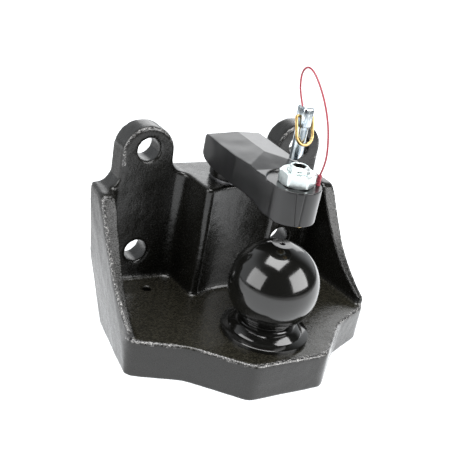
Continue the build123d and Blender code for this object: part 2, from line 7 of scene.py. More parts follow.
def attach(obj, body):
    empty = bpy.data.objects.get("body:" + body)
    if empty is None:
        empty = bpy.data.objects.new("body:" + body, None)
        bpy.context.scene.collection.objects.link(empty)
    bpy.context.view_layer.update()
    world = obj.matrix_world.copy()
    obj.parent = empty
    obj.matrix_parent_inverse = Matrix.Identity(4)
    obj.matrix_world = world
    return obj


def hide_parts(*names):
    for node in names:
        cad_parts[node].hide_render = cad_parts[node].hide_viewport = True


# Looks of a bolt-on ball hitch bracket. Everything is in the part's own frame, in metres.
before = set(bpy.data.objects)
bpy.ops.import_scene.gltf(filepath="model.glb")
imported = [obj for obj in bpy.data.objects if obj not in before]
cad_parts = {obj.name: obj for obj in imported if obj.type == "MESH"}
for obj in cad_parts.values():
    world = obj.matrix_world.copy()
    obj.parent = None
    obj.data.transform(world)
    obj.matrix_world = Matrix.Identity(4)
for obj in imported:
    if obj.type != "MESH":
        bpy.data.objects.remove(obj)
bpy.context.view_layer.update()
scene = bpy.context.scene
TURN = 2 * math.pi

# Axes and values that several pieces share
PIVOT = Vector((0, -0.038, 0))
BALL = Vector((0, -0.133, 0))
PIN = Vector((0.0245, -0.093, 0))
HEX_SOFTNESS = 0.0006
RANGE_KEYS = ("From Min", "From Max", "To Min", "To Max")

# Camera at the photograph's place
RIGHT = (0.86040637, -0.48061095, 0.16945202)
UP = (0.07180185, 0.44352686, 0.89338033)
BACK = (-0.50452489, -0.75650316, 0.41612209)
camera_data = bpy.data.cameras.new("camera")
camera_data.sensor_width = 36
camera_data.lens = 66.07
camera = bpy.data.objects.new("camera", camera_data)
scene.collection.objects.link(camera)
turned = Matrix((RIGHT, UP, BACK)).transposed().to_4x4()
camera.matrix_world = Matrix.Translation((-0.39666, -0.64339, 0.30632)) @ turned
scene.camera = camera


# Ways to make pieces

def add(name, data):
    made = bpy.data.objects.new(name, data)
    scene.collection.objects.link(made)
    return made


def mesh_piece(name, points, faces):
    mesh = bpy.data.meshes.new(name)
    mesh.from_pydata(points, [], faces)
    mesh.validate()
    mesh.shade_smooth()
    return add(name, mesh)


def rings_piece(name, rings, centre, cap_start=True, cap_end=True, sharp=35):
    """A skin over closed rings of points that all have the same count."""
    count = len(rings[0])
    points = [Vector(centre) + Vector(p) for ring in rings for p in ring]
    faces = []
    for i in range(len(rings) - 1):
        for j in range(count):
            k = (j + 1) % count
            faces.append((i * count + j, i * count + k, (i + 1) * count + k, (i + 1) * count + j))
    if cap_start:
        faces.append(tuple(reversed(range(count))))
    if cap_end:
        faces.append(tuple(range((len(rings) - 1) * count, len(rings) * count)))
    piece = mesh_piece(name, points, faces)
    piece.data.set_sharp_from_angle(angle=math.radians(sharp))
    return piece


def angles_of(count):
    """Evenly spaced angles of one full turn."""
    return [TURN * j / count for j in range(count)]


def circle(radius, height, count):
    """A level ring of points round the upright axis."""
    return [(radius * math.cos(t), radius * math.sin(t), height) for t in angles_of(count)]


def turned_piece(name, profile, centre, count, sharp=35, cap_start=True, cap_end=True):
    """A piece turned on a lathe about an upright line. The profile is (radius, height) pairs."""
    rings = [circle(radius, height, count) for radius, height in profile]
    return rings_piece(name, rings, centre, cap_start, cap_end, sharp)


def hexagon(angle, flats, corner):
    """Distance to the outline of a hexagon with softly rounded corners."""
    part = (angle + TURN / 12) % (TURN / 6) - TURN / 12
    edge = flats / 2 / math.cos(part)
    return min(edge, flats / 2 / math.cos(TURN / 12) - corner + corner * math.cos(3 * part) ** 2)


def hexagon_ring(flats, height, count, limit=1.0):
    """A level ring in the shape of a hexagon, cut off at a greatest radius."""
    ring = []
    for t in angles_of(count):
        r = min(hexagon(t, flats, HEX_SOFTNESS), limit)
        ring.append((r * math.cos(t), r * math.sin(t), height))
    return ring


def seen_mesh(piece):
    """The mesh of a piece with its modifiers worked in."""
    bpy.context.view_layer.update()
    return bpy.data.meshes.new_from_object(piece.evaluated_get(bpy.context.evaluated_depsgraph_get()))


def smoothed(piece, iterations, group=""):
    soft = piece.modifiers.new("soft", "SMOOTH")
    soft.factor = 0.5
    soft.iterations = iterations
    soft.vertex_group = group


def remeshed(name, node, voxel, softening):
    """A copy of a CAD node with an even skin and worn, rounded edges."""
    raw = add(name + "_raw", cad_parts[node].data.copy())
    weld = raw.modifiers.new("weld", "WELD")
    weld.merge_threshold = 0.000005
    skin = raw.modifiers.new("skin", "REMESH")
    skin.mode = "VOXEL"
    skin.voxel_size = voxel
    skin.use_smooth_shade = True
    smoothed(raw, softening)
    data = seen_mesh(raw)
    bpy.data.objects.remove(raw)
    data.materials.clear()
    data.name = name
    data.shade_smooth()
    return add(name, data)


def swell(piece, push):
    """Moves every point of a mesh along its own normal by what push says for its place."""
    vertices = piece.data.vertices
    places = [v.co.copy() for v in vertices]
    normals = [v.normal.copy() for v in vertices]
    moved = []
    for place, normal in zip(places, normals):
        moved.extend(place + normal * push(place))
    vertices.foreach_set("co", moved)
    piece.data.update()


def mark(piece, name, values):
    """Keeps one number for each point of a mesh, for its material to read."""
    piece.data.attributes.new(name, "FLOAT", "POINT").data.foreach_set("value", values)


def rounded(piece, share_of, iterations):
    """Rounds off the edges of an even skin where share_of is above zero."""
    group = piece.vertex_groups.new(name="rounded")
    for vertex in piece.data.vertices:
        share = share_of(vertex.co)
        if share > 0:
            group.add([vertex.index], min(1.0, share), "REPLACE")
    smoothed(piece, iterations, group.name)
    data = seen_mesh(piece)
    piece.modifiers.clear()
    piece.vertex_groups.clear()
    piece.data = data
    data.shade_smooth()


# Ways to make materials

class Shader:
    """Builds one node material, with sizes in millimetres."""

    def __init__(self, name, base, roughness, metallic=0.0, coat=0.0, coat_roughness=0.05, specular=0.5):
        self.material = bpy.data.materials.new(name)
        self.material.use_nodes = True
        self.tree = self.material.node_tree
        self.surface = self.tree.nodes["Principled BSDF"]
        self.surface.inputs["Base Color"].default_value = (*base, 1)
        self.surface.inputs["Roughness"].default_value = roughness
        self.surface.inputs["Metallic"].default_value = metallic
        self.surface.inputs["Coat Weight"].default_value = coat
        self.surface.inputs["Coat Roughness"].default_value = coat_roughness
        self.surface.inputs["Specular IOR Level"].default_value = specular
        self.place = self.node("ShaderNodeTexCoord").outputs["Object"]
        self.height = None

    def node(self, kind, **values):
        made = self.tree.nodes.new(kind)
        for key, value in values.items():
            setattr(made, key, value)
        return made

    def link(self, a, b):
        self.tree.links.new(a, b)

    def stretched(self, across, up):
        """Coordinates stretched so that marks run along or across the upright axis."""
        mapping = self.node("ShaderNodeMapping")
        mapping.inputs["Scale"].default_value = (across, across, up)
        self.link(self.place, mapping.inputs["Vector"])
        return mapping.outputs["Vector"]

    def noise(self, size_mm, detail=3, rough=0.5, place=None):
        made = self.node("ShaderNodeTexNoise")
        made.inputs["Scale"].default_value = 1000 / size_mm
        made.inputs["Detail"].default_value = detail
        made.inputs["Roughness"].default_value = rough
        self.link(place or self.place, made.inputs["Vector"])
        return made.outputs["Fac"]

    def ramp(self, value, stops):
        made = self.node("ShaderNodeValToRGB")
        ramp = made.color_ramp
        while len(ramp.elements) < len(stops):
            ramp.elements.new(0.5)
        for element, (where, colour) in zip(ramp.elements, stops):
            element.position = where
            element.color = (*colour, 1) if isinstance(colour, tuple) else (colour, colour, colour, 1)
        self.link(value, made.inputs["Fac"])
        return made.outputs["Color"]

    def span(self, value, low, high, to_low, to_high):
        made = self.node("ShaderNodeMapRange")
        for key, number in zip(RANGE_KEYS, (low, high, to_low, to_high)):
            made.inputs[key].default_value = number
        self.link(value, made.inputs["Value"])
        return made.outputs["Result"]

    def mix(self, share, a, b):
        made = self.node("ShaderNodeMix", data_type="RGBA")
        self.link(share, made.inputs["Factor"])
        for value, socket in ((a, made.inputs[6]), (b, made.inputs[7])):
            if isinstance(value, tuple):
                socket.default_value = (*value, 1)
            else:
                self.link(value, socket)
        return made.outputs[2]

    def colour(self, value):
        self.link(value, self.surface.inputs["Base Color"])

    def roughness(self, value):
        self.link(value, self.surface.inputs["Roughness"])

    def bump(self, value, depth_mm, strength=1.0):
        made = self.node("ShaderNodeBump")
        made.inputs["Distance"].default_value = depth_mm / 1000
        made.inputs["Strength"].default_value = strength
        self.link(value, made.inputs["Height"])
        if self.height is not None:
            self.link(self.height, made.inputs["Normal"])
        self.height = made.outputs["Normal"]
        self.link(self.height, self.surface.inputs["Normal"])
        self.link(self.height, self.surface.inputs["Coat Normal"])

    def multiplied(self, a, b):
        made = self.node("ShaderNodeMath", operation="MULTIPLY")
        self.link(a, made.inputs[0])
        self.link(b, made.inputs[1])
        return made.outputs["Value"]

    def attribute(self, name):
        return self.node("ShaderNodeAttribute", attribute_name=name).outputs["Fac"]


# Black paint over a cast skin, worn thin, rough and painted with a highlight along the parting edges, dusty
# on the floor
casting = Shader("casting_paint", (0.005, 0.005, 0.0042), 0.24, coat=0.2, coat_roughness=0.14,
                 specular=0.36)
lumps = casting.noise(26, 2)
skin = casting.noise(2.1, 4, 0.6)
grain = casting.noise(1.5, 5, 0.7)
worn_edge_and_highlight = casting.attribute("worn_edge_and_highlight")
casting.bump(lumps, 0.4, 0.5)
casting.bump(casting.multiplied(skin, casting.attribute("cast_grain")), 0.2, 0.8)
casting.bump(casting.multiplied(grain, casting.attribute("coarse_skin")), 0.35, 1.0)
# Light grey patches along the parting edges: partly worn paint, partly a painted highlight
worn = casting.ramp(grain, [(0.40, 0.008), (0.52, 0.05), (0.64, (0.36, 0.35, 0.34))])
tint = casting.mix(lumps, (0.0028, 0.0028, 0.0022), (0.0056, 0.0054, 0.0044))
dust_share = casting.multiplied(casting.attribute("dusty"), casting.span(skin, 0.35, 0.65, 0.15, 1))
tint = casting.mix(dust_share, tint, (0.017, 0.0158, 0.0108))
casting.colour(casting.mix(worn_edge_and_highlight, tint, worn))
casting.roughness(casting.span(skin, 0.3, 0.7, 0.2, 0.32))

# Deep gloss black over the turned ball
ball = Shader("ball_paint", (0.004, 0.004, 0.0038), 0.13, coat=0.4, coat_roughness=0.09, specular=0.42)
ball.bump(ball.noise(9, 2), 0.05, 0.25)
ball.colour(ball.mix(ball.noise(30, 2), (0.003, 0.003, 0.0026), (0.006, 0.006, 0.0054)))
ball.roughness(ball.span(ball.noise(14, 3), 0.3, 0.7, 0.1, 0.17))

# Satin black over the forged arm, with painted shade in the die grooves
arm = Shader("arm_paint", (0.008, 0.0082, 0.009), 0.3, coat=0.22, coat_roughness=0.22, specular=0.4)
arm.bump(arm.noise(14, 2), 0.25, 0.3)
arm.bump(arm.noise(1.3, 4, 0.6), 0.05, 0.45)
arm_tone = arm.mix(arm.noise(22, 3), (0.005, 0.005, 0.0049), (0.009, 0.0092, 0.0098))
# Painted shade: the die grooves are darkened to near black
arm.colour(arm.mix(arm.attribute("groove_shade"), arm_tone, (0.0008, 0.0008, 0.0008)))
arm.roughness(arm.span(arm.attribute("groove_shade"), 0, 1, 0.28, 0.8))


def plated(name, low, high, roughness, size=4.0, place=None):
    """Plated steel: patches of slightly different tone, with painted shade where the attribute marks a
    recess.
    """
    made = Shader(name, low, roughness, metallic=1.0)
    stretch = made.stretched(*place) if place else None
    tone = made.mix(made.span(made.noise(size, 4, 0.6, stretch), 0.35, 0.65, 0, 1), low, high)
    made.colour(made.mix(made.attribute("socket_shade"), tone, (0.02, 0.02, 0.019)))
    made.bump(made.noise(1.2, 3, 0.6, made.stretched(1, 6)), 0.01, 0.2)
    made.roughness(made.span(made.noise(2.5, 3), 0.3, 0.7, roughness - 0.04, roughness + 0.06))
    return made


zinc = plated("bright_zinc", (0.72, 0.79, 0.79), (0.85, 0.92, 0.91), 0.38)
# Pin zinc: dark bluish and bright streaks along the pin are painted reflections
streaked_pin_zinc = plated("pin_zinc_painted_reflections", (0.16, 0.21, 0.26), (0.74, 0.8, 0.82), 0.16, 2.4, (1, 0.16))
streaked_pin_zinc.bump(streaked_pin_zinc.noise(2.2, 2, 0.4, streaked_pin_zinc.stretched(1.6, 0.25)), 0.2, 0.6)
yellow = plated("yellow_zinc", (0.34, 0.22, 0.08), (0.52, 0.38, 0.17), 0.3)
spring = plated("spring_steel", (0.16, 0.16, 0.17), (0.26, 0.26, 0.27), 0.4)
bronze = plated("bronze", (0.42, 0.27, 0.12), (0.58, 0.4, 0.2), 0.35)
red = Shader("red_coating", (0.3, 0.03, 0.05), 0.4, coat=0.15, specular=0.3)
red.colour(red.mix(red.noise(3, 3), (0.2, 0.018, 0.03), (0.32, 0.05, 0.07)))
red.bump(red.noise(0.9, 2, 0.5, red.stretched(1, 3)), 0.03, 0.4)

SHADERS = {
    "casting_paint": casting,
    "ball_paint": ball,
    "arm_paint": arm,
    "collar_paint": ball,
    "zinc": zinc,
    "yellow_zinc": yellow,
    "spring_steel": spring,
    "bronze": bronze,
    "red_coating": red,
}


def finish_piece(piece, slot, body, *nodes):
    piece.data.materials.clear()
    piece.data.materials.append(SHADERS[slot].material)
    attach(piece, body)
    if nodes:
        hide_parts(*nodes)


# Wire that ties the linch pin to the arm
WIRE = [
    (0.0210, -0.0926, 0.1142),
    (0.0207, -0.0856, 0.1241),
    (0.0205, -0.0827, 0.1337),
    (0.0202, -0.0830, 0.1422),
    (0.0199, -0.0888, 0.1481),
    (0.0196, -0.0976, 0.1478),
    (0.0194, -0.1086, 0.1415),
    (0.0191, -0.1226, 0.1290),
    (0.0188, -0.1346, 0.1121),
    (0.0185, -0.1408, 0.0939),
    (0.0183, -0.1415, 0.0811),
    (0.0180, -0.1387, 0.0712),
]
wire_data = bpy.data.curves.new("lanyard", "CURVE")
wire_data.dimensions = "3D"
wire_data.bevel_depth = 0.00085
wire_data.bevel_resolution = 4
wire_data.resolution_u = 16
wire_data.use_fill_caps = True
line = wire_data.splines.new("NURBS")
line.points.add(len(WIRE) - 1)
for point, place in zip(line.points, WIRE):
    point.co = (*place, 1)
line.order_u = 3
line.use_endpoint_u = True
lanyard = add("lanyard", wire_data)
lanyard.data.materials.append(red.material)
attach(lanyard, "arm")
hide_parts("lanyard_wire")

# Sleeve crimped over the wire's end
SLEEVE_RADIUS = 0.0019
CRIMP_RADIUS = 0.00165
sleeve_profile = [(0.0012, 0.0581), (0.0018, 0.0583), (SLEEVE_RADIUS, 0.059), (SLEEVE_RADIUS, 0.063)]
for step in range(4):
    low = 0.0642 + 0.0018 * step
    sleeve_profile += [(SLEEVE_RADIUS, low), (CRIMP_RADIUS, low + 0.0004)]
    sleeve_profile += [(CRIMP_RADIUS, low + 0.0008), (SLEEVE_RADIUS, low + 0.0012)]
sleeve_profile += [(SLEEVE_RADIUS, 0.0714), (0.0017, 0.0719), (0.0011, 0.072)]
sleeve = turned_piece("crimped_sleeve", sleeve_profile, (0.018, -0.139, 0), 40)
finish_piece(sleeve, "red_coating", "arm", "wire_sleeve")

# Casting: an even cast skin, with a band along the parting edges that reads as rough and gets the painted
# highlight
cast_body = remeshed("cast_bracket", "bracket_casting", 0.0011, 8)


def runs(points, step=0.0008):
    """Points close together along straight runs."""
    made = []
    for a, b in zip(points, points[1:]):
        a, b = Vector(a), Vector(b)
        count = max(1, int((b - a).length / step))
        made += [a.lerp(b, i / count) for i in range(count + 1)]
    return made


# Lines where the skin is worn, rough and painted with a highlight: the floor's lip, the fronts of the side
# walls and the lugs' rims
FLOOR_TOP = -0.079
WALL_X = 0.1245
LUG_X, LUG_Z, LUG_RADIUS = 0.08, 0.0465, 0.025
lip = [
    (-0.1235, -0.1145), (-0.1215, -0.1195), (-0.115, -0.1238), (-0.095, -0.1330), (-0.084, -0.1385),
    (-0.072, -0.1475), (-0.044, -0.1752), (-0.038, -0.1790), (-0.030, -0.1808),
]
crest = [
    (-0.034, 0.0105), (-0.0415, 0.0), (-0.0482, -0.010), (-0.0550, -0.020), (-0.0626, -0.030),
    (-0.0710, -0.040), (-0.0815, -0.050), (-0.0945, -0.060), (-0.1095, -0.0685), (-0.117, -0.073),
]
edge_points = runs([(x, y, FLOOR_TOP) for x, y in lip] + [(-x, y, FLOOR_TOP) for x, y in reversed(lip)])
for side in (-1, 1):
    edge_points += runs([(side * WALL_X, y, z) for y, z in crest])
for side in (-1, 1):
    arc = []
    for degree in range(-20, 181, 6):
        t = math.radians(degree)
        arc.append((side * (LUG_X + LUG_RADIUS * math.cos(t)), -0.023, LUG_Z + LUG_RADIUS * math.sin(t)))
    edge_points += runs(arc)
near = kdtree.KDTree(len(edge_points))
for i, p in enumerate(edge_points):
    near.insert(p, i)
near.balance()

# Upright corners of the floor slab, as x and y, that the scene rounds off more than the solids
CORNERS = ((0.0395, -0.1785), (0.084, -0.1385), (0.1225, -0.1175))
CORNER_REACH = 0.012
SLAB_HIGH, SLAB_LOW = -0.0805, -0.1115
SHOULDER_X, SHOULDER_Z = 0.108, 0.004


def round_share(p):
    """How strongly the upright corners and the shoulders beside the lugs are rounded off."""
    if abs(p.x) > SHOULDER_X and p.z > SHOULDER_Z:
        return min(1.0, (p.z - SHOULDER_Z) / 0.008, (abs(p.x) - SHOULDER_X) / 0.004)
    gap = min(math.hypot(abs(p.x) - x, p.y - y) for x, y in CORNERS)
    return min(1.0, (SLAB_HIGH - p.z) / 0.005, (p.z - SLAB_LOW) / 0.006, (CORNER_REACH - gap) / 0.004)


rounded(cast_body, round_share, 50)

# Outer side faces: their distance from the middle is SIDE_X - SIDE_FLARE * y + SIDE_DRAFT * z
SIDE_X, SIDE_FLARE, SIDE_DRAFT = 0.1215, 0.1, 0.085
band, coarse, fine, dust = [], [], [], []


def crest_gap(p):
    """How far a place lies from the curved front faces of the side walls."""
    for (y1, z1), (y2, z2) in zip(crest, crest[1:]):
        if z2 <= p.z <= z1:
            return abs(p.y - (y1 + (y2 - y1) * (p.z - z1) / (z2 - z1)))
    return 1.0


def cast_skin(p):
    """How far a point of the cast skin stands out, in metres. It also notes how rough the skin is there."""
    gap = near.find(p)[2]
    spread = 0.0024 + 0.0012 * noise.noise(p * 220)
    band.append(max(0.0, min(1.0, (spread - gap) / 0.0009)))
    wall_front = abs(p.x) > SHOULDER_X and p.z > -0.078 and p.y < -0.0255 and crest_gap(p) < 0.0022
    coarse.append(1.0 if wall_front else 0.0)
    side_face = abs(p.x) - SIDE_X + SIDE_FLARE * p.y - SIDE_DRAFT * p.z > -0.0025
    lug_rim = p.z > 0.03 and math.hypot(abs(p.x) - LUG_X, p.z - LUG_Z) > LUG_RADIUS - 0.0015
    slab_side = p.z < FLOOR_TOP - 0.0025
    fine.append(0.25 if side_face or lug_rim or slab_side else 1.0)
    dust.append(1.0 if abs(p.z - FLOOR_TOP) < 0.0015 else 0.0)
    return noise.noise(p * 45) * 0.00028 + noise.noise(p * 160) * 0.00011


swell(cast_body, cast_skin)
mark(cast_body, "worn_edge_and_highlight", band)
mark(cast_body, "coarse_skin", coarse)
mark(cast_body, "cast_grain", fine)
mark(cast_body, "dusty", dust)
finish_piece(cast_body, "casting_paint", "bracket", "bracket_casting")

# Ball with its stepped, turned base
BALL_RADIUS = 0.040
BALL_Z = -0.032
FLAT_RADIUS = 0.0094
NECK_RADIUS = 0.023
profile = [(0.0001, -0.0020), (0.00225, -0.0020), (0.00225, 0.0064), (0.0027, 0.00697), (0.0085, 0.00697)]
start = math.asin(FLAT_RADIUS / BALL_RADIUS)
end = math.pi - math.asin(NECK_RADIUS / BALL_RADIUS)
for i in range(121):
    t = start + (end - start) * i / 120
    profile.append((BALL_RADIUS * math.sin(t), BALL_Z + BALL_RADIUS * math.cos(t)))
profile += [(NECK_RADIUS, -0.0668), (0.0236, -0.0663), (0.0248, -0.0665), (0.0255, -0.0672)]
for i in range(1, 9):
    t = i / 8
    profile.append((0.0255 + 0.0075 * t, -0.0672 - 0.0058 * (1 - math.cos(t * math.pi / 2)) ** 0.9))
profile += [(0.0334, -0.0737), (0.0388, -0.0753), (0.0394, -0.0757), (0.0395, -0.0763), (0.0395, -0.0789)]
profile += [(0.020, -0.0790), (0.020, -0.0896), (0.0194, -0.09), (0.0101, -0.09), (0.0101, -0.0565)]
profile += [(0.0001, -0.0565)]
ball_piece = turned_piece("coupling_ball", profile, BALL, 192, 30)
finish_piece(ball_piece, "ball_paint", "bracket", "ball_stud")

# Hold-down arm with worn edges
arm_piece = remeshed("forged_arm", "hold_down_arm", 0.0007, 2)
GROOVE_WIDTH = 1.6
GROOVE_DEPTH = 0.0008
grooves = []


def forged_skin(p):
    """Waves of the forging, and two upright grooves where the dies met on the tip's front; it also notes how
    much painted shade each groove point gets.
    """
    rise, dark = noise.noise(p * 60) * 0.00025, 0.0
    x, y = p.x - BALL.x, p.y - BALL.y
    if 0.034 < p.z < 0.0625 and y < -0.004 and math.hypot(x, y) > 0.0205:
        turn = math.degrees(math.atan2(y, x))
        for place in (-117 - (p.z - 0.05) * 340, -101):
            depth = math.exp(-((turn - place) / GROOVE_WIDTH) ** 2)
            rise -= GROOVE_DEPTH * depth
            dark = max(dark, depth)
    grooves.append(dark)
    return rise


swell(arm_piece, forged_skin)
mark(arm_piece, "groove_shade", grooves)
finish_piece(arm_piece, "arm_paint", "arm", "hold_down_arm")

# Thread of the adjusting screw and of the pivot shaft
THREAD_PITCH = 0.0025
THREAD_DEPTH = 0.0012
THREAD_RADIUS = 0.009
RINGS_PER_PITCH = 10


def threaded(name, centre, low, high, before, after, count):
    """A rod with a real helical thread between two heights, closed by the given end rings."""
    angles = angles_of(count)
    levels = int((high - low) / THREAD_PITCH * RINGS_PER_PITCH)
    rings = [circle(r, z, count) for r, z in before]
    for i in range(levels + 1):
        z = low + (high - low) * i / levels
        ring = []
        for t in angles:
            phase = (z / THREAD_PITCH - t / TURN) % 1
            rise = abs(2 * phase - 1)
            r = THREAD_RADIUS - THREAD_DEPTH * max(0.0, min(1.0, (0.9 - rise) / 0.75))
            ring.append((r * math.cos(t), r * math.sin(t), z))
        rings.append(ring)
    for end_ring in after:
        if callable(end_ring):
            rings.append([end_ring(t) for t in angles])
        else:
            rings.append(circle(*end_ring, count))
    return rings_piece(name, rings, centre, sharp=50)


def socket_at(z, flats, grow=0.0):
    """The outline of the hexagon socket at one height, as a function of the angle."""
    def place(t):
        r = flats / 2 / math.cos((t + TURN / 12) % (TURN / 6) - TURN / 12) + grow
        return (r * math.cos(t), r * math.sin(t), z)
    return place


# Adjusting screw with a helical thread and a hexagon socket
SCREW_TOP = 0.0788
SOCKET_FLATS = 0.010
screw = threaded(
    "threaded_screw", BALL, 0.0343, 0.0773,
    before=[(0.0056, 0.0358), (0.0056, 0.0328), (0.0073, 0.0328), (0.0079, 0.0333)],
    after=[
        (0.0079, 0.0779), (0.0074, 0.0786), (0.0069, SCREW_TOP), socket_at(SCREW_TOP, SOCKET_FLATS, 0.0006),
        socket_at(0.0782, SOCKET_FLATS), socket_at(0.0690, SOCKET_FLATS), (0.0038, 0.0688), (0.0002, 0.0672),
    ],
    count=96,
)
finish_piece(screw, "zinc", "screw", "adjusting_screw")


def in_socket(p):
    return 0.06 < p.z < 0.0783 and math.hypot(p.x - BALL.x, p.y - BALL.y) < 0.0062


# Painted shade inside the hexagon socket
mark(screw, "socket_shade", [float(in_socket(v.co)) for v in screw.data.vertices])

# Swivel pad under the screw
pad_profile = [
    (0.0010, 0.0302), (0.0016, 0.0298), (0.0048, 0.0298), (0.0054, 0.0302), (0.0055, 0.0308),
    (0.0055, 0.0335), (0.0049, 0.0342), (0.0049, 0.0358), (0.0010, 0.0358),
]
pad = turned_piece("swivel_pad", pad_profile, BALL, 64, cap_start=False, cap_end=False)
finish_piece(pad, "yellow_zinc", "screw_carrier", "screw_pad")


def hex_nut(name, centre, low, high, flats, bore, chamfer=0.0016, count=144):
    """A hexagon nut with turned chamfers on both faces and softly rounded corners."""
    corner = flats / math.sqrt(3)
    inner = flats / 2 - 0.0003
    lead_in = 0.0009
    heights = [0, 0.12, 0.25, 0.4, 0.55, 0.75, 1.0]
    rings = [circle(bore, low, count), circle(inner, low, count)]
    for share in heights:
        limit = inner + (corner - inner) * share + 0.0001
        rings.append(hexagon_ring(flats, low + share * chamfer, count, limit))
    for share in reversed(heights):
        limit = inner + (corner - inner) * share + 0.0001
        rings.append(hexagon_ring(flats, high - share * chamfer, count, limit))
    rings.append(circle(inner, high, count))
    rings.append(circle(bore + lead_in, high, count))
    rings.append(circle(bore, high - lead_in, count))
    rings.append(rings[0])
    return rings_piece(name, rings, centre, cap_start=False, cap_end=False, sharp=28)


nut = hex_nut("lock_nut_piece", BALL, 0.0630, 0.0740, 0.028, 0.0091)
finish_piece(nut, "zinc", "nut", "lock_nut")

# Stud with a round nose under the arm's tip
NOSE_ROUND = 0.0023
nose = [(0.0001, 0.0305)]
for step in range(9):
    t = step * math.pi / 16
    nose.append((0.0022 + NOSE_ROUND * math.sin(t), 0.0328 - NOSE_ROUND * math.cos(t)))
stud = turned_piece("nosed_stud", nose + [(0.0045, 0.0395), (0.0001, 0.0395)], (0, -0.1475, 0), 48)
finish_piece(stud, "yellow_zinc", "arm", "tip_stud")

# Linch pin: a round shank with a sloping tip, and a squarish head
PIN_RADIUS = 0.0055
HEAD_HALF_DEPTH = 0.0065
HEAD_SOFTNESS = 0.003
TIP_Z = 0.06747
TIP_SLOPE = math.tan(math.radians(42))


def pin_ring(share_to_head, z, shrink=0.0, tip=False):
    """One ring of the pin, between the round shank at 0 and the squarish head at 1."""
    ring = []
    half_x, half_y, soft = PIN_RADIUS - shrink, HEAD_HALF_DEPTH - shrink, HEAD_SOFTNESS - shrink
    for t in angles_of(96):
        c, s = math.cos(t), math.sin(t)
        flat_x = half_x / abs(c) if abs(c) > 1e-6 else 1e9
        flat_y = half_y / abs(s) if abs(s) > 1e-6 else 1e9
        outline = min(flat_x, flat_y)
        x, y = outline * c, outline * s
        if abs(x) > half_x - soft and abs(y) > half_y - soft:
            cx, cy = math.copysign(half_x - soft, c), math.copysign(half_y - soft, s)
            along = c * cx + s * cy
            outline = along + math.sqrt(max(0.0, soft * soft - (cx * cx + cy * cy - along * along)))
        r = half_x + (outline - half_x) * share_to_head
        height = z
        if tip:
            height = max(z, TIP_Z + max(0.0, r * c + 0.003) * TIP_SLOPE + shrink * 0.4)
        ring.append((r * c, r * s, height))
    return ring


pin_rings = [pin_ring(0, TIP_Z, shrink, True) for shrink in (0.005, 0.0025, 0.0006)]
pin_rings.append(pin_ring(0, 0.0678, 0.0, True))
pin_rings += [pin_ring(0, 0.0762 + 0.0027 * i) for i in range(8)]
for share, z, shrink in (
    (0, 0.0976, 0.0), (0.15, 0.0979, 0.0), (0.85, 0.0984, 0.0), (1, 0.0988, 0.0), (1, 0.1135, 0.0),
    (1, 0.1144, 0.0003), (1, 0.115, 0.0011), (1, 0.115, 0.0028),
):
    pin_rings.append(pin_ring(share, z, shrink))
pin = rings_piece("drawn_pin", pin_rings, PIN, sharp=40)
finish_piece(pin, "zinc", "arm", "linch_pin")
# The drawn pin is shinier than the other zinc, and its colour carries painted reflection streaks
pin.data.materials[0] = streaked_pin_zinc.material

# Spring bow of the linch pin: two legs that leave the head sideways, bend down and join in a round end
BOW_WIRE = 0.0014
BOW_LENGTH = 0.026
BOW_OFFSET = 0.0082
BOW_HALF = 0.0082
BEND = 0.0016
straight = BOW_LENGTH - BOW_WIRE - BOW_HALF
tilt = math.asin(BOW_OFFSET / (BOW_LENGTH - 2 * BOW_WIRE))
down = Vector((0, -math.sin(tilt), -math.cos(tilt)))
hinge = PIN + Vector((0, 0, 0.1065))


def bow_leg(side):
    """One leg of the bow, from inside the head to where the round end starts."""
    leg = [(side * 0.0015, 0), (side * (BOW_HALF - BEND), 0)]
    for t in (0.4, 0.8, 1.2):
        leg.append((side * (BOW_HALF - BEND + BEND * math.sin(t)), BEND - BEND * math.cos(t)))
    leg += [(side * BOW_HALF, BEND + (straight - BEND) * i / 6) for i in range(7)]
    return leg


bow_outline = bow_leg(1)
for step in range(1, 16):
    t = step * math.pi / 16
    bow_outline.append((BOW_HALF * math.cos(t), straight + BOW_HALF * math.sin(t)))
bow_outline += reversed(bow_leg(-1))
bow_line = [hinge + Vector((x, 0, 0)) + down * along for x, along in bow_outline]
bow_data = bpy.data.curves.new("spring_bow", "CURVE")
bow_data.dimensions = "3D"
bow_data.bevel_depth = BOW_WIRE
bow_data.bevel_resolution = 6
bow_data.use_fill_caps = True
bow_spline = bow_data.splines.new("POLY")
bow_spline.points.add(len(bow_line) - 1)
for point, place in zip(bow_spline.points, bow_line):
    point.co = (*place, 1)
bow_spline.use_smooth = True
bow = add("spring_bow", bow_data)
finish_piece(bow, "yellow_zinc", "bow", "linch_pin_bow")

# Pivot shaft: gloss collar under the arm, thread and nut in the recess below
shaft = threaded(
    "pivot_shaft_piece", PIVOT, -0.1047, -0.0802,
    before=[(0.0001, -0.1057), (0.0078, -0.1057), (0.0082, -0.1052)],
    after=[
        (0.009, -0.0801), (0.011, -0.08), (0.011, 0.0295), (0.0212, 0.0295), (0.0218, 0.03),
        (0.022, 0.031), (0.022, 0.0391), (0.0217, 0.0401), (0.021, 0.0405), (0.013, 0.0405),
        (0.013, 0.0565), (0.0001, 0.0565),
    ],
    count=128,
)
finish_piece(shaft, "collar_paint", "arm", "pivot_shaft")

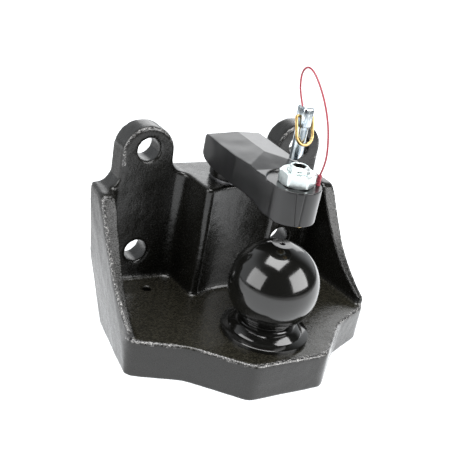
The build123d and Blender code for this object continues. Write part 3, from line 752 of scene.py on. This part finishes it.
# Bolt under the ball
BOLT_FLATS = 0.030
BOLT_COUNT = 144
bolt_rings = [circle(0.0001, -0.1070, BOLT_COUNT), circle(0.0075, -0.1070, BOLT_COUNT)]
bolt_rings += [circle(0.0082, -0.1075, BOLT_COUNT), circle(0.0146, -0.1075, BOLT_COUNT)]
for z, limit in ((-0.1073, 0.0152), (-0.1068, 0.0162), (-0.1061, 0.0175), (-0.0955, 1.0), (-0.0954, 0.0142)):
    bolt_rings.append(hexagon_ring(BOLT_FLATS, z, BOLT_COUNT, limit))
for r, z in ((0.0142, -0.095), (0.01, -0.095), (0.01, -0.058), (0.009, -0.057), (0.0001, -0.057)):
    bolt_rings.append(circle(r, z, BOLT_COUNT))
bolt = rings_piece("seat_bolt", bolt_rings, BALL, sharp=30)
finish_piece(bolt, "zinc", "bracket", "ball_bolt")

# Nodes that keep their CAD shape
for node, slot in (
    ("ball_washer", "zinc"), ("upper_bush", "bronze"), ("lower_bush", "bronze"), ("pivot_nut", "zinc"),
    ("thrust_washer", "spring_steel"), ("pivot_washer", "zinc"), ("disc_spring", "spring_steel"),
    ("split_pin", "zinc"),
):
    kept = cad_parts[node]
    kept.data.materials.clear()
    kept.data.materials.append(SHADERS[slot].material)

# Floor: plain white for the camera. To the part it glows, which lights it from below; what the part mirrors
# of it ends a little way ahead and to the sides, and has a painted shadow at the rear left.
FLOOR_Z = -0.1144
FLOOR_REACH = 4
MIRRORED_CENTRE = (0, 0.42, 0)
SHADOW_PATCH_PLACE = (-0.3, 0.35, FLOOR_Z)
paper = Shader("studio_floor", (0.4, 0.4, 0.4), 0.8, specular=0.0)
paper.colour(paper.mix(paper.noise(60, 2), (0.39, 0.39, 0.39), (0.41, 0.41, 0.41)))
paper.surface.inputs["Emission Color"].default_value = (0.95, 0.975, 1, 1)


def distance_from(place):
    made = paper.node("ShaderNodeVectorMath", operation="DISTANCE")
    made.inputs[1].default_value = place
    paper.link(paper.place, made.inputs[0])
    return made.outputs["Value"]


# Glow seen by the part: a bright area ahead, times a painted shadow at the rear left
mirrored = paper.multiplied(
    paper.span(distance_from(MIRRORED_CENTRE), 1.02, 1.12, 1.25, 0.02),
    paper.span(distance_from(SHADOW_PATCH_PLACE), 0.15, 0.45, 0.05, 1),
)


def for_camera(shader_tree, mirrored_value, seen_value):
    """A strength that is one value in mirrored and spread light, and another straight to the camera."""
    made = shader_tree.nodes.new("ShaderNodeMix")
    light_path = shader_tree.nodes.new("ShaderNodeLightPath")
    shader_tree.links.new(light_path.outputs["Is Camera Ray"], made.inputs["Factor"])
    shader_tree.links.new(mirrored_value, made.inputs[2])
    made.inputs[3].default_value = seen_value
    return made.outputs[0]


paper.link(for_camera(paper.tree, mirrored, 1.05), paper.surface.inputs["Emission Strength"])
CORNER_SIGNS = ((-1, -1), (1, -1), (1, 1), (-1, 1))
floor_corners = [(x * FLOOR_REACH, y * FLOOR_REACH, FLOOR_Z) for x, y in CORNER_SIGNS]
floor = mesh_piece("studio_floor", floor_corners, [(0, 1, 2, 3)])
floor.data.materials.append(paper.material)

# Surroundings: bright behind the part, dark ahead and overhead, plain white for the camera
world = bpy.data.worlds.new("studio")
world.use_nodes = True
tree = world.node_tree
direction = tree.nodes.new("ShaderNodeSeparateXYZ")
tree.links.new(tree.nodes.new("ShaderNodeTexCoord").outputs["Generated"], direction.inputs[0])


def smooth_span(value, *numbers):
    made = tree.nodes.new("ShaderNodeMapRange")
    made.interpolation_type = "SMOOTHSTEP"
    for key, number in zip(RANGE_KEYS, numbers):
        made.inputs[key].default_value = number
    tree.links.new(value, made.inputs["Value"])
    return made.outputs["Result"]


around = tree.nodes.new("ShaderNodeMath")
around.operation = "MULTIPLY"
tree.links.new(smooth_span(direction.outputs["Y"], -0.1, 0.35, 0.04, 1.0), around.inputs[0])
tree.links.new(smooth_span(direction.outputs["Z"], 0.5, 0.9, 0.9, 0.05), around.inputs[1])
backdrop = tree.nodes["Background"]
backdrop.inputs["Color"].default_value = (0.94, 0.97, 1, 1)
tree.links.new(for_camera(tree, around.outputs["Value"], 1.1), backdrop.inputs["Strength"])
scene.world = world
scene.view_settings.view_transform = "Standard"


# Softboxes, all aimed at the middle of the part
CENTRE = Vector((0, -0.09, 0))


def softbox(name, place, wide, high, power):
    data = bpy.data.lights.new(name, "AREA")
    data.shape = "RECTANGLE"
    data.size = wide
    data.size_y = high
    data.energy = power
    lamp = add(name, data)
    lamp.location = place
    lamp.rotation_euler = (CENTRE - Vector(place)).to_track_quat("-Z", "Y").to_euler()


softbox("top_light", (-0.12, -0.15, 1.2), 0.85, 0.85, 22)
softbox("left_light", (-1.32, -0.2, 0.5), 1.1, 0.95, 17)
softbox("right_light", (0.76, -1.16, 0.62), 1.15, 1.0, 30)
softbox("back_light", (0.66, 0.82, 0.44), 1.1, 0.6, 3.6)
